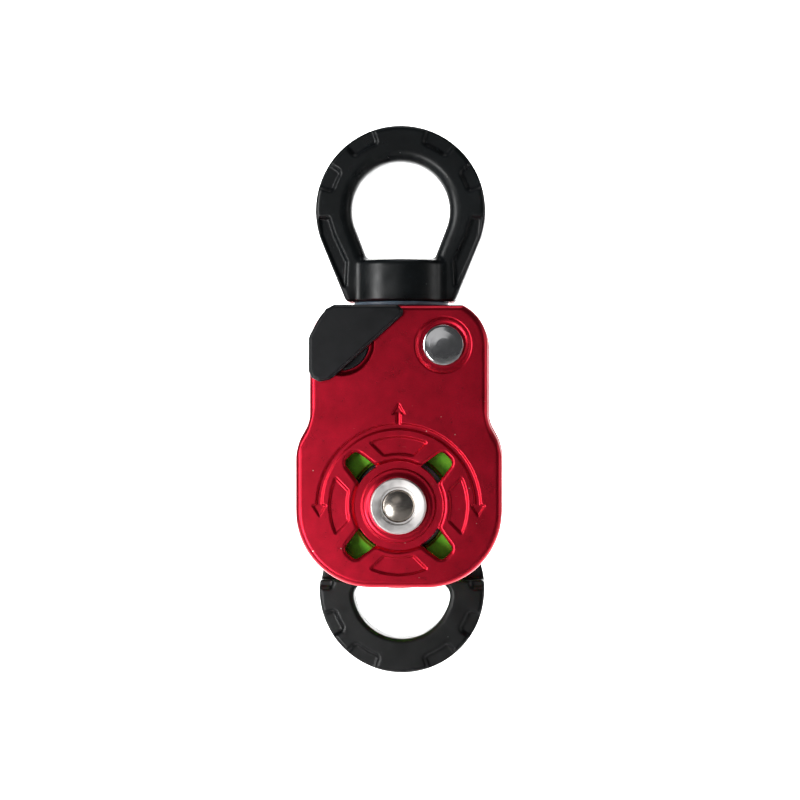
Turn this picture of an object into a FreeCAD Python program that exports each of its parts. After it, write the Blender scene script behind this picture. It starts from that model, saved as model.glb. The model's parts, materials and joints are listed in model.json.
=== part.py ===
import FreeCAD, Part
import math
import os

V = FreeCAD.Vector

# Rope pulley with a swivel eye, an opening front plate and a becket ring.
# Millimetres. X points right, Y to the rear, Z up. The origin is the centre of the hole in the swivel eye.

# Swivel eye
EYE_R = 25.3
EYE_HOLE_R = 14.55
EYE_HALF = 7.5
EYE_EDGE_ROUND = 1.2
EYE_RIM_ROUND = 3.0
LEG_FOOT_X = 16.2
HOLE_FOOT_X = 9.9
COLLAR_R = 14.4
COLLAR_TOP = -14.7
COLLAR_FOOT = -27.15
COLLAR_ROUND = (1.6, 0.8)
POCKET_DEPTH = 1.2
EDGE_POCKET_R = 21.0

# Swivel bearing
SWIVEL_BORE_R = 8.5
SWIVEL_BORE_TOP = -18.0
POST_R = 8.45
RACE_Z = -22.5
RACE_BALL_R = 2.0
RACE_BALLS = 12
RACE_GAP = 0.05
PORT_R = 2.2
PORT_FOOT = 8.0
PLUG_FOOT = 10.7
PLUG_SINK = 0.3
PLUG_HEX = 2.0
PLUG_HEX_FOOT = 12.6
WASHER_R = 14.2
WASHER_TOP = -27.25
WASHER_FOOT = -28.35

# Head block
BLOCK_FOOT = -51.4
BLOCK_FRONT = -14.7
BLOCK_CORNER = 1.6
POST_STEP = -44.0
POST_END_R = 5.0
NUT_TOP = -45.0
NUT_FOOT = -50.0
NUT_FLATS = 13.0
NUT_POCKET_R = 8.6

# Side plates
PLATE_IN = 14.8
PLATE_OUT = 19.0
PLATE_TOP = -28.5
PLATE_FOOT = -111.5
PLATE_ROUND = 1.5
NECK_FILLET = 4.0
WAIST_FILLET = 6.0
NECK_X = 26.2
WAIST_X = 30.3
TOP_ARC_R = 13.1
FOOT_ARC_R = 22.5
FOOT_ARC_CENTRE = (7.8, -89.0)
NECK_CORNER = (26.2, -62.7)
WAIST_CORNER = (30.3, -70.15)

# Axle, sheave and bearing
AXLE = (0.0, -87.4)
AXLE_R = 6.0
AXLE_END_R = 4.8
AXLE_STEP = 20.0
AXLE_TIP = 21.0
FLANGE_R = 7.2
FLANGE_Y = (8.9, 9.9)
RING_R = 8.25
RING_OUT = 21.2
RING_BORE_R = 5.2
BOSS_R = (9.7, 8.7)
BOSS_OUT = 19.9
SHEAVE_R = 22.5
SHEAVE_HALF = 9.5
GROOVE_FOOT_R = 16.5
BEARING_R = 14.0
BEARING_HALF = 4.0
BEARING_PITCH_R = 10.0
BEARING_BALL_R = 2.38
BEARING_BALLS = 8
BEARING_LAND_R = (8.4, 11.6)
SPACER_R = 7.8
HUB_R = 12.0
HUB_IN = 10.0
BUSH_R = 7.6

# Front plate details
WINDOW_R = (13.2, 20.4)
WINDOW_HALF = (3.5, 2.4)
PETAL_R = (15.2, 20.2)
PETAL_ANGLE = (16.3, 24.0)
PETAL_DEPTH = 0.6
BAND_R = (22.5, 24.0)
BAND_DEPTH = 0.5
ARROW_HALF = 2.05
HUB_RECESS_R = (10.8, 13.2)
HUB_RECESS_DEPTH = 0.8
RIB_R = (21.6, 24.5)

# Lock button and plunger
BUTTON = (13.1, -40.3)
BUTTON_R = 6.0
BUTTON_FOOT = -18.2
BUTTON_SEAT_R = 8.3
SEAT_DEPTH = 1.0
BUTTON_STEM_R = 2.6
BUTTON_NECK_R = 2.2
BUTTON_NECK = (-15.35, -15.0)
CLIP_R = 4.6
CLIP_ROOM_R = (5.0, 5.3)
SPRING_SEAT = -16.5
PLUNGER_R = 3.5
PLUNGER_BORE_R = 2.4
PLUNGER_FOOT = 3.0
PLUNGER_BORE_FOOT = 8.0

# Latch lever
LEVER = (-16.7, -39.7)
LEVER_HUB_R = 8.0
LEVER_HUB_FRONT = -18.5
LEVER_HUB_BACK = -15.9
LEVER_FRONT = -22.2
LEVER_BACK = -19.15
LEVER_CHAMFER = 1.0
LEVER_SEAT_R = 9.3
RETAINER_R = 8.9
LATCH_PIN_R = 0.9
LATCH_PIN = (-9.95, -39.7)
LATCH_SCREW_R = 1.5
LATCH_SPRING_ROOM_R = (2.6, 5.6)
LEVER_OUTLINE = [
    (-18.8, -28.5),
    (-0.3, -28.5),
    (1.6, -30.0),
    (1.2, -31.6),
    (-18.6, -49.4),
    (-20.2, -50.5),
    (-23.1, -51.1),
    (-25.3, -49.9),
    (-26.2, -48.1),
    (-26.2, -38.3),
    (-25.7, -37.0),
    (-23.1, -32.3),
    (-21.1, -29.7),
]

# Becket
BECKET = (0.0, -113.7)
BECKET_R = 24.9
BECKET_HOLE_R = 14.6
BECKET_HOLE_TOP = -111.0
BECKET_BEVEL = 1.3
BECKET_CORNER = 5.0
BECKET_FRONT = 2.5
ARM_FRONT = 9.9
ARM_R = 12.5
RING_TOP = -110.6
BECKET_BACK = 14.6
RIVETS = [(-12.0, -103.0), (12.0, -103.0)]
RIVET_R = 2.0
RIVET_HEAD_R = 4.0
SCREWS = [(-18.5, -34.5), (18.5, -34.5), (-18.5, -46.0), (18.5, -46.0)]
SCREW_R = 2.0
SCREW_HEAD_R = 4.0
SCREW_FOOT = 5.5
FIT_GAP = 0.05

os.makedirs("parts", exist_ok=True)


def cyl_y(centre, radius, y0, y1):
    """Cylinder along Y about the point centre in the XZ plane."""
    return Part.makeCylinder(radius, y1 - y0, V(centre[0], y0, centre[1]), V(0, 1, 0))


def tube_y(centre, outer, inner, y0, y1):
    """Round tube along Y."""
    return cyl_y(centre, outer, y0, y1).cut(cyl_y(centre, inner, y0 - 1, y1 + 1))


def cone_y(centre, r0, r1, y0, y1):
    """Cone along Y with radius r0 at y0 and r1 at y1."""
    return Part.makeCone(r0, r1, y1 - y0, V(centre[0], y0, centre[1]), V(0, 1, 0))


def cyl_z(radius, z0, z1):
    """Cylinder about the swivel axis."""
    return Part.makeCylinder(radius, z1 - z0, V(0, 0, z0))


def prism_y(points, y0, y1):
    """Polygon in the XZ plane, drawn out along Y."""
    corners = [V(x, y0, z) for x, z in points]
    face = Part.Face(Part.makePolygon(corners + corners[:1]))
    return face.extrude(V(0, y1 - y0, 0))


def polar(centre, radius, degrees):
    """Point at an angle and radius about centre, in the XZ plane."""
    angle = math.radians(degrees)
    return centre[0] + radius * math.cos(angle), centre[1] + radius * math.sin(angle)


def sector_y(centre, r0, r1, a0, a1, y0, y1):
    """Annular sector between two radii and two angles, drawn out along Y."""
    def point(radius, degrees):
        x, z = polar(centre, radius, degrees)
        return V(x, y0, z)

    middle = (a0 + a1) / 2
    edges = [
        Part.Arc(point(r1, a0), point(r1, middle), point(r1, a1)).toShape(),
        Part.makeLine(point(r1, a1), point(r0, a1)),
        Part.Arc(point(r0, a1), point(r0, middle), point(r0, a0)).toShape(),
        Part.makeLine(point(r0, a0), point(r1, a0)),
    ]
    return Part.Face(Part.Wire(edges)).extrude(V(0, y1 - y0, 0))


def hoop(radius, foot_x, foot_z, y0, y1):
    """Disc about the origin that runs down in two tangent lines to a flat foot, drawn out along Y."""
    reach = math.hypot(foot_x, foot_z)
    angle = math.atan2(foot_z, foot_x) + math.acos(radius / reach)
    x, z = radius * math.cos(angle), radius * math.sin(angle)
    edges = [
        Part.Arc(V(x, y0, z), V(0, y0, radius), V(-x, y0, z)).toShape(),
        Part.makeLine(V(-x, y0, z), V(-foot_x, y0, foot_z)),
        Part.makeLine(V(-foot_x, y0, foot_z), V(foot_x, y0, foot_z)),
        Part.makeLine(V(foot_x, y0, foot_z), V(x, y0, z)),
    ]
    return Part.Face(Part.Wire(edges)).extrude(V(0, y1 - y0, 0))


def turned_y(centre, profile):
    """Solid turned about a Y axis through centre, from (radius, y) corners."""
    corners = [V(centre[0] + r, y, centre[1]) for r, y in profile]
    face = Part.Face(Part.makePolygon(corners + corners[:1]))
    return face.revolve(V(centre[0], 0, centre[1]), V(0, 1, 0), 360)


def on_plane_y(shape, y):
    """Edges that lie in the plane at y."""
    return [e for e in shape.Edges if abs(e.BoundBox.YMin - y) < 1e-3 and abs(e.BoundBox.YMax - y) < 1e-3]


def along_y(shape):
    """Straight edges that run along Y."""
    return [e for e in shape.Edges if e.BoundBox.XLength < 1e-3 and e.BoundBox.ZLength < 1e-3]


def joined(shapes):
    """All the shapes fused into one."""
    first = shapes[0]
    return first.fuse(shapes[1:]).removeSplitter() if len(shapes) > 1 else first


def mirror_y(shape):
    """Copy of the shape on the other side of the pulley's middle plane."""
    return shape.mirror(V(0, 0, 0), V(0, 1, 0))


def turned_about(shape, centre, degrees):
    """Copy of the shape turned about a Y axis, anticlockwise as seen from the front."""
    copy = shape.copy()
    copy.rotate(V(centre[0], 0, centre[1]), V(0, -1, 0), degrees)
    return copy


def coil_y(centre, radius, wire_r, y0, y1, turns):
    """Helical spring along Y whose wire stays between y0 and y1."""
    height = y1 - y0 - 2 * wire_r
    helix = Part.makeHelix(height / turns, height, radius)
    section = Part.Wire([Part.makeCircle(wire_r, V(radius, 0, 0), V(0, 1, 0))])
    spring = Part.Wire(helix).makePipeShell([section], True, True)
    spring.rotate(V(0, 0, 0), V(1, 0, 0), -90)
    spring.translate(V(centre[0], y0 + wire_r, centre[1]))
    return spring


def spiral_y(centre, r0, r1, thick, y0, y1, turns):
    """Flat spiral spring wound from radius r0 to r1."""
    steps = int(turns * 24)
    inner = []
    outer = []
    for i in range(steps + 1):
        angle = 360 * turns * i / steps
        radius = r0 + (r1 - thick - r0) * i / steps
        inner.append(polar(centre, radius, angle))
        outer.append(polar(centre, radius + thick, angle))
    return prism_y(inner + outer[::-1], y0, y1)


def hex_z(flats, z0, z1):
    """Hexagonal prism about the swivel axis."""
    across = flats / math.sqrt(3)
    corners = [V(*polar((0, 0), across, 60 * i), z0) for i in range(6)]
    return Part.Face(Part.makePolygon(corners + corners[:1])).extrude(V(0, 0, z1 - z0))


def hex_y(centre, flats, y0, y1):
    """Hexagonal prism along Y."""
    across = flats / math.sqrt(3)
    return prism_y([polar(centre, across, 60 * i) for i in range(6)], y0, y1)


def save(name, shape):
    """Write one node."""
    shape.exportStep("parts/" + name + ".step")


# ---- Swivel eye ----------------------------------------------------------------------------------

eye_blank = hoop(EYE_R, LEG_FOOT_X, COLLAR_FOOT, -EYE_HALF, EYE_HALF)
outer_edges = on_plane_y(eye_blank, -EYE_HALF) + on_plane_y(eye_blank, EYE_HALF)
eye_blank = eye_blank.makeFillet(EYE_EDGE_ROUND, outer_edges)
eye_hole = hoop(EYE_HOLE_R, HOLE_FOOT_X, COLLAR_TOP, -20, 20)
ring = eye_blank.cut(eye_hole)
RIM_REACH = 17.9
rim_edges = []
for edge in on_plane_y(ring, -EYE_HALF) + on_plane_y(ring, EYE_HALF):
    middle = edge.CenterOfMass
    first = edge.Vertexes[0].Point
    if math.hypot(first.x, first.z) < RIM_REACH and math.hypot(middle.x, middle.z) < RIM_REACH:
        rim_edges.append(edge)
ring = ring.makeFillet(EYE_RIM_ROUND, rim_edges)
collar = cyl_z(COLLAR_R, COLLAR_FOOT, COLLAR_TOP)
top_edges = [e for e in collar.Edges if e.BoundBox.ZMin > COLLAR_TOP - 0.01]
collar = collar.makeFillet(COLLAR_ROUND[0], top_edges)
foot_edges = [e for e in collar.Edges if e.BoundBox.ZMax < COLLAR_FOOT + 0.01]
collar = collar.makeFillet(COLLAR_ROUND[1], foot_edges)
swivel_eye = joined([ring, collar])

edge_pockets = [(16, 33), (50, 71), (109, 130), (147, 164)]
leg_pocket = [
    (-24.0, -0.8),
    (-21.4, -0.8),
    (-20.3, -6.2),
    (-15.3, -15.3),
    (-16.0, -23.1),
    (-16.7, -23.2),
    (-22.9, -8.2),
    (-24.0, -3.0),
]
pocket_y = (-EYE_HALF - 1, -EYE_HALF + POCKET_DEPTH)
pockets = [sector_y((0, 0), EDGE_POCKET_R, EYE_R + 1, a0, a1, *pocket_y) for a0, a1 in edge_pockets]
pockets.append(prism_y(leg_pocket, *pocket_y))
pockets.append(prism_y([(-x, z) for x, z in leg_pocket], *pocket_y))
swivel_eye = swivel_eye.cut(pockets + [mirror_y(p) for p in pockets])
swivel_eye = swivel_eye.cut(cyl_z(SWIVEL_BORE_R, COLLAR_FOOT - 1, SWIVEL_BORE_TOP))
race = Part.makeTorus(SWIVEL_BORE_R, RACE_BALL_R + RACE_GAP, V(0, 0, RACE_Z))
swivel_eye = swivel_eye.cut(race)
swivel_eye = swivel_eye.cut(cyl_y((0, RACE_Z), PORT_R, PORT_FOOT, 20))
save("swivel_eye", swivel_eye)

port_plug = cyl_y((0, RACE_Z), PORT_R, PLUG_FOOT, 20).common(cyl_z(COLLAR_R - PLUG_SINK, -27, -18))
port_plug = port_plug.cut(hex_y((0, RACE_Z), PLUG_HEX, PLUG_HEX_FOOT, 16))
save("ball_port_plug", port_plug)

# ---- Swivel post, balls and washer ---------------------------------------------------------------

post = joined([
    cyl_z(POST_R, POST_STEP, SWIVEL_BORE_TOP - 0.3),
    cyl_z(POST_END_R, NUT_FOOT - 0.5, POST_STEP),
]).cut(race)
save("swivel_post", post)

balls = []
for i in range(RACE_BALLS):
    angle = 2 * math.pi * i / RACE_BALLS
    centre = V(SWIVEL_BORE_R * math.cos(angle), SWIVEL_BORE_R * math.sin(angle), RACE_Z)
    balls.append(Part.makeSphere(RACE_BALL_R, centre))
save("swivel_balls", Part.makeCompound(balls))

washer = cyl_z(WASHER_R, WASHER_FOOT, WASHER_TOP).cut(cyl_z(POST_R + 0.2, -30, -20))
save("dust_washer", washer)

post_nut = hex_z(NUT_FLATS, NUT_FOOT, NUT_TOP).cut(cyl_z(POST_END_R, NUT_FOOT - 1, NUT_TOP + 1))
save("post_nut", post_nut)

# ---- Head block ----------------------------------------------------------------------------------

block_outline = [
    (-17.0, -28.9),
    (17.0, -28.9),
    (22.0, -32.6),
    (24.4, -38.0),
    (24.4, -47.5),
    (20.5, BLOCK_FOOT),
    (-20.5, BLOCK_FOOT),
    (-24.4, -47.5),
    (-24.4, -38.0),
    (-22.0, -32.6),
]
head_block = prism_y(block_outline, BLOCK_FRONT, PLATE_IN)
head_block = head_block.makeFillet(BLOCK_CORNER, along_y(head_block))
head_block = head_block.fuse(cyl_z(-BLOCK_FRONT, -35, WASHER_FOOT))
head_block = head_block.cut(cyl_z(POST_R, -70, -20))
head_block = head_block.fuse(cyl_z(POST_R + 1, NUT_TOP, POST_STEP).cut(cyl_z(POST_END_R, -50, -40)))
head_block = head_block.cut(cyl_z(NUT_POCKET_R, -60, NUT_TOP))
head_block = head_block.cut(cyl_y(BUTTON, PLUNGER_R + FIT_GAP, -20, PLUNGER_BORE_FOOT))
head_block = head_block.cut(cyl_y(BUTTON, CLIP_ROOM_R[1], -20, BLOCK_FRONT + 2.4))
for centre in SCREWS:
    head_block = head_block.cut(cyl_y(centre, SCREW_R, SCREW_FOOT, 20))
save("head_block", head_block.removeSplitter())

plunger = cyl_y(BUTTON, PLUNGER_R, BLOCK_FRONT + FIT_GAP, PLUNGER_FOOT)
plunger = plunger.cut(cyl_y(BUTTON, PLUNGER_BORE_R, -2.0, 4.0))
save("lock_plunger", plunger)
save("plunger_spring", coil_y(BUTTON, 1.9, 0.3, -1.9, 7.9, 7))

# ---- Side plates ---------------------------------------------------------------------------------


def plate_blank():
    """Front plate before its holes, with its rounded outer edge."""
    y = -PLATE_OUT
    arc_top = BUTTON[0] + math.sqrt(TOP_ARC_R ** 2 - (PLATE_TOP - BUTTON[1]) ** 2)
    top_middle = polar(BUTTON, TOP_ARC_R, 30)
    foot_middle = polar(FOOT_ARC_CENTRE, FOOT_ARC_R, -45)

    def point(xz, side):
        return V(side * xz[0], y, xz[1])

    edges = []
    for side in (1, -1):
        start = point((arc_top, PLATE_TOP), side)
        neck_top = point((NECK_X, BUTTON[1]), side)
        neck = point(NECK_CORNER, side)
        waist = point(WAIST_CORNER, side)
        waist_foot = point((WAIST_X, FOOT_ARC_CENTRE[1]), side)
        foot = point((FOOT_ARC_CENTRE[0], PLATE_FOOT), side)
        edges.append(Part.Arc(start, point(top_middle, side), neck_top).toShape())
        edges.append(Part.makeLine(neck_top, neck))
        edges.append(Part.makeLine(neck, waist))
        edges.append(Part.makeLine(waist, waist_foot))
        edges.append(Part.Arc(waist_foot, point(foot_middle, side), foot).toShape())
    edges.append(Part.makeLine(V(-arc_top, y, PLATE_TOP), V(arc_top, y, PLATE_TOP)))
    edges.append(Part.makeLine(V(-FOOT_ARC_CENTRE[0], y, PLATE_FOOT), V(FOOT_ARC_CENTRE[0], y, PLATE_FOOT)))
    wire = Part.Wire(Part.__sortEdges__(edges))
    blank = Part.Face(wire).extrude(V(0, PLATE_OUT - PLATE_IN, 0))
    necks = [e for e in along_y(blank) if abs(e.CenterOfMass.z - NECK_CORNER[1]) < 0.1]
    blank = blank.makeFillet(NECK_FILLET, necks)
    waists = [e for e in along_y(blank) if abs(e.CenterOfMass.z - WAIST_CORNER[1]) < 0.1]
    blank = blank.makeFillet(WAIST_FILLET, waists)
    blank = blank.makeFillet(PLATE_ROUND, on_plane_y(blank, -PLATE_OUT))
    return blank.fuse(cone_y(AXLE, BOSS_R[1], BOSS_R[0], -BOSS_OUT, -PLATE_OUT))


def window(degrees):
    """One slot through a plate, on a ray from the axle."""
    r0, r1 = WINDOW_R
    h0, h1 = WINDOW_HALF
    outline = [(r0 - 1, h0 + 0.15), (r0 - 1, -h0 - 0.15), (r1 + 0.5, -h1), (r1 + 0.5, h1)]
    wedge = prism_y([(AXLE[0] + u, AXLE[1] + v) for u, v in outline], -25, 25)
    slot = wedge.common(tube_y(AXLE, r1, r0, -25, 25))
    outer = [e for e in along_y(slot) if e.CenterOfMass.x > (r0 + r1) / 2]
    return turned_about(slot.makeFillet(1.5, outer), AXLE, degrees)


def petal(degrees):
    """One shallow pocket between two windows."""
    r0, r1 = PETAL_R
    a0, a1 = (math.radians(a) for a in PETAL_ANGLE)
    u0, v0 = r0 * math.cos(a0), r0 * math.sin(a0)
    u1, v1 = r1 * math.cos(a1), r1 * math.sin(a1)
    slope = (v1 - v0) / (u1 - u0)
    u2, v2 = r1 + 1, v0 + slope * (r1 + 1 - u0)
    u3, v3 = r0 - 2, v0 - slope * (u0 - r0 + 2)
    outline = [(AXLE[0] + u, AXLE[1] + v) for u, v in [(u3, v3), (u3, -v3), (u2, -v2), (u2, v2)]]
    wedge = prism_y(outline, -PLATE_OUT - 1, -PLATE_OUT + PETAL_DEPTH)
    return turned_about(wedge.common(tube_y(AXLE, r1, r0, -25, 25)), AXLE, degrees)


def arrow_band():
    """Shallow half-circle mark over the sheave, with an arrowhead at each end and one on top."""
    y0 = -PLATE_OUT - 1
    y1 = -PLATE_OUT + BAND_DEPTH
    middle = (BAND_R[0] + BAND_R[1]) / 2
    pieces = [sector_y(AXLE, BAND_R[0], BAND_R[1], 0, 180, y0, y1)]
    for side in (1, -1):
        x = AXLE[0] + side * middle
        head = [(x - ARROW_HALF, AXLE[1] + 0.2), (x + ARROW_HALF, AXLE[1] + 0.2), (x, AXLE[1] - 3.2)]
        pieces.append(prism_y(head, y0, y1))
    top = AXLE[1] + BAND_R[1]
    half = (BAND_R[1] - BAND_R[0]) / 2
    shaft = [(-half, top - 0.3), (half, top - 0.3), (half, top + 3.4), (-half, top + 3.4)]
    pieces.append(prism_y(shaft, y0, y1))
    head = [(-ARROW_HALF, top + 3.2), (ARROW_HALF, top + 3.2), (0.0, top + 6.0)]
    pieces.append(prism_y(head, y0, y1))
    return joined(pieces)


def common_cuts(window_angles):
    """Cuts that both plates have, placed for the front plate."""
    cuts = [window(degrees) for degrees in window_angles]
    cuts += [petal(90 * i) for i in range(4)]
    cuts.append(arrow_band())
    floor = -PLATE_OUT + HUB_RECESS_DEPTH
    cuts.append(tube_y(AXLE, HUB_RECESS_R[1], HUB_RECESS_R[0], -PLATE_OUT - 1, floor))
    return cuts


front_plate = plate_blank()
front_plate = joined([
    front_plate,
    tube_y(AXLE, RIB_R[1], RIB_R[0], -PLATE_IN - 0.5, -HUB_IN),
    cyl_y(AXLE, HUB_R, -PLATE_IN - 0.5, -HUB_IN),
])
front_cuts = common_cuts([45, 135, 225, 315])
front_cuts.append(cyl_y(AXLE, BUSH_R, -25, 0))
front_cuts.append(cyl_y(BUTTON, BUTTON_R + FIT_GAP, -25, SPRING_SEAT))
front_cuts.append(cone_y(BUTTON, BUTTON_SEAT_R, BUTTON_R + FIT_GAP, -PLATE_OUT, -PLATE_OUT + SEAT_DEPTH))
front_cuts.append(cyl_y(BUTTON, BUTTON_STEM_R + FIT_GAP, -25, 0))
front_cuts.append(cyl_y(BUTTON, CLIP_ROOM_R[0], -15.7, -14))
front_cuts.append(cyl_y(LEVER, LEVER_HUB_R + FIT_GAP, -25, 0))
front_cuts.append(cone_y(LEVER, LEVER_SEAT_R, LEVER_HUB_R + FIT_GAP, -PLATE_OUT, -PLATE_OUT + SEAT_DEPTH))
front_cuts.append(cyl_y(LEVER, RETAINER_R + 0.3, LEVER_HUB_BACK, -14))
front_plate = front_plate.cut(front_cuts)
save("front_plate", front_plate)

rear_plate = plate_blank().cut(common_cuts([45, 135]) + [cyl_y(AXLE, AXLE_R, -25, 0)])
rear_plate = mirror_y(rear_plate)
for centre in SCREWS:
    rear_plate = rear_plate.cut([
        cyl_y(centre, SCREW_R, 0, 25),
        cone_y(centre, SCREW_R, SCREW_HEAD_R + 0.2, PLATE_OUT - 2.2, PLATE_OUT),
    ])
for centre in RIVETS:
    rear_plate = rear_plate.cut(cyl_y(centre, RIVET_R, 0, 25))
save("rear_plate", rear_plate)

screws = []
for centre in SCREWS:
    screw = joined([
        cyl_y(centre, SCREW_R, SCREW_FOOT + 0.5, PLATE_OUT - 0.1),
        cone_y(centre, SCREW_R, SCREW_HEAD_R, PLATE_OUT - 2.1, PLATE_OUT - 0.1),
    ])
    screws.append(screw.cut(hex_y(centre, 2.5, PLATE_OUT - 1.6, 20)))
save("plate_screws", Part.makeCompound(screws))

bush = tube_y(AXLE, BUSH_R, AXLE_R + FIT_GAP, -BOSS_OUT, -HUB_IN)
save("front_plate_bush", bush)

# ---- Axle, rings, spacers, bearing and sheave ----------------------------------------------------

half_axle = [
    (0, -AXLE_TIP),
    (2.6, -AXLE_TIP + 0.12),
    (4.1, -AXLE_TIP + 0.35),
    (AXLE_END_R, -AXLE_TIP + 0.7),
    (AXLE_END_R, -AXLE_STEP),
    (AXLE_R, -AXLE_STEP),
]
flange = [
    (AXLE_R, -FLANGE_Y[1]),
    (FLANGE_R, -FLANGE_Y[1]),
    (FLANGE_R, -FLANGE_Y[0]),
    (AXLE_R, -FLANGE_Y[0]),
]
axle = turned_y(AXLE, half_axle + flange + [(r, -y) for r, y in half_axle[::-1]])
save("axle", axle)

axle_ring = turned_y(AXLE, [
    (RING_BORE_R, -RING_OUT + 0.3),
    (RING_BORE_R + 0.3, -RING_OUT),
    (RING_R - 0.5, -RING_OUT),
    (RING_R, -RING_OUT + 0.5),
    (RING_R, -AXLE_STEP),
    (AXLE_END_R, -AXLE_STEP),
    (AXLE_END_R, -AXLE_STEP - 0.3),
    (RING_BORE_R, -AXLE_STEP - 0.3),
])
save("front_axle_ring", axle_ring)
save("rear_axle_ring", mirror_y(axle_ring))

save("front_spacer", tube_y(AXLE, SPACER_R, AXLE_R, -FLANGE_Y[0], -BEARING_HALF))
save("rear_spacer", tube_y(AXLE, SPACER_R, AXLE_R, BEARING_HALF, ARM_FRONT))

groove = Part.makeTorus(BEARING_PITCH_R, BEARING_BALL_R + RACE_GAP, V(AXLE[0], 0, AXLE[1]), V(0, 1, 0))
inner_ring = tube_y(AXLE, BEARING_LAND_R[0], AXLE_R, -BEARING_HALF, BEARING_HALF)
save("bearing_inner_ring", inner_ring.cut(groove))
outer_ring = tube_y(AXLE, BEARING_R, BEARING_LAND_R[1], -BEARING_HALF, BEARING_HALF)
save("bearing_outer_ring", outer_ring.cut(groove))
balls = []
for i in range(BEARING_BALLS):
    x, z = polar(AXLE, BEARING_PITCH_R, 360 * i / BEARING_BALLS)
    balls.append(Part.makeSphere(BEARING_BALL_R, V(x, 0, z)))
save("bearing_balls", Part.makeCompound(balls))
seal = tube_y(AXLE, BEARING_LAND_R[1], BEARING_LAND_R[0] + 0.35, -BEARING_HALF, -BEARING_HALF + 0.8)
save("bearing_seals", Part.makeCompound([seal, mirror_y(seal)]))


def sheave_solid():
    """Sheave with its rope groove, turned about the axle."""
    def point(r, y):
        return V(AXLE[0] + r, y, AXLE[1])

    rim = [
        (20.9, 6.3),
        (SHEAVE_R, 8.3),
        (SHEAVE_R, 8.9),
        (21.9, SHEAVE_HALF),
        (14.7, SHEAVE_HALF),
        (BEARING_R, 8.8),
    ]
    corners = [point(r, y) for r, y in rim] + [point(r, -y) for r, y in rim[::-1]]
    edges = [Part.makeLine(a, b) for a, b in zip(corners, corners[1:])]
    edges.append(Part.Arc(corners[-1], point(GROOVE_FOOT_R, 0), corners[0]).toShape())
    face = Part.Face(Part.Wire(edges))
    return face.revolve(V(AXLE[0], 0, AXLE[1]), V(0, 1, 0), 360)


save("sheave", sheave_solid())

# ---- Latch lever ---------------------------------------------------------------------------------

wedge = prism_y(LEVER_OUTLINE, LEVER_FRONT, LEVER_BACK)
wedge = wedge.makeChamfer(LEVER_CHAMFER, on_plane_y(wedge, LEVER_FRONT))
neck = prism_y(LEVER_OUTLINE, LEVER_BACK - 0.25, LEVER_HUB_FRONT + 0.2)
neck = neck.common(cyl_y(LEVER, LEVER_HUB_R, -25, 0))
lever = joined([wedge, cyl_y(LEVER, LEVER_HUB_R, LEVER_HUB_FRONT, LEVER_HUB_BACK), neck])
lever = lever.cut([
    tube_y(LEVER, LATCH_SPRING_ROOM_R[1], LATCH_SPRING_ROOM_R[0], -18.0, -15),
    cyl_y(LEVER, LATCH_SCREW_R, -18.6, -15),
    cyl_y(LATCH_PIN, LATCH_PIN_R, -17.5, -15),
])
save("latch_lever", lever)

retainer = cyl_y(LEVER, RETAINER_R, LEVER_HUB_BACK + FIT_GAP, -14.95)
retainer = retainer.cut([
    cyl_y(LEVER, LATCH_SCREW_R, -20, -10),
    cyl_y(LATCH_PIN, LATCH_PIN_R, -20, -10),
])
save("latch_retainer", retainer)
latch_screw = joined([
    cyl_y(LEVER, LATCH_SCREW_R, -18.5, -14.9),
    cyl_y(LEVER, 1.0, -14.95, -14.88),
])
save("latch_screw", latch_screw)
save("latch_catch_pin", cyl_y(LATCH_PIN, LATCH_PIN_R, -17.4, -14.88))
save("latch_spring", spiral_y(LEVER, 2.9, 5.3, 0.35, -17.8, -16.2, 2.5))

# ---- Lock button ---------------------------------------------------------------------------------

button = joined([
    turned_y(BUTTON, [
        (0, -20.0),
        (2.6, -19.92),
        (4.2, -19.75),
        (5.3, -19.5),
        (BUTTON_R, -18.9),
        (BUTTON_R, BUTTON_FOOT),
        (0, BUTTON_FOOT),
    ]),
    cyl_y(BUTTON, BUTTON_STEM_R, BUTTON_FOOT - 0.1, -14.85),
])
button = button.cut(tube_y(BUTTON, 4, BUTTON_NECK_R, *BUTTON_NECK))
save("lock_button", button)
save("button_clip", tube_y(BUTTON, CLIP_R, BUTTON_NECK_R, BUTTON_NECK[0] + 0.02, BUTTON_NECK[1] - 0.02))
save("button_spring", coil_y(BUTTON, 4.3, 0.2, BUTTON_FOOT + 0.02, SPRING_SEAT - 0.02, 2))

# ---- Becket --------------------------------------------------------------------------------------

ring = cyl_y(BECKET, BECKET_R, BECKET_FRONT, BECKET_BACK)
ring = ring.cut(prism_y([(-40, RING_TOP), (40, RING_TOP), (40, -60), (-40, -60)], 0, ARM_FRONT))
arm = joined([
    cyl_y(AXLE, ARM_R, ARM_FRONT, BECKET_BACK),
    prism_y([(-12.3, -85.5), (12.3, -85.5), (24.0, -107.0), (-24.0, -107.0)], ARM_FRONT, BECKET_BACK),
])
becket = joined([ring, arm])
hole = cyl_y(BECKET, BECKET_HOLE_R, 0, 20)
hole = hole.cut(prism_y([(-20, BECKET_HOLE_TOP), (20, BECKET_HOLE_TOP), (20, -90), (-20, -90)], -1, 21))
hole = hole.makeFillet(BECKET_CORNER, along_y(hole))
becket = becket.cut(hole)
above_hole = prism_y([(-30, BECKET_HOLE_TOP - 2), (30, BECKET_HOLE_TOP - 2), (30, -80), (-30, -80)], 0, 20)
bevel_r = BECKET_HOLE_R + BECKET_BEVEL
becket = becket.cut([
    cone_y(BECKET, bevel_r, BECKET_HOLE_R, BECKET_FRONT, BECKET_FRONT + BECKET_BEVEL).cut(above_hole),
    cone_y(BECKET, BECKET_HOLE_R, bevel_r, BECKET_BACK - BECKET_BEVEL, BECKET_BACK).cut(above_hole),
])
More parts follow.
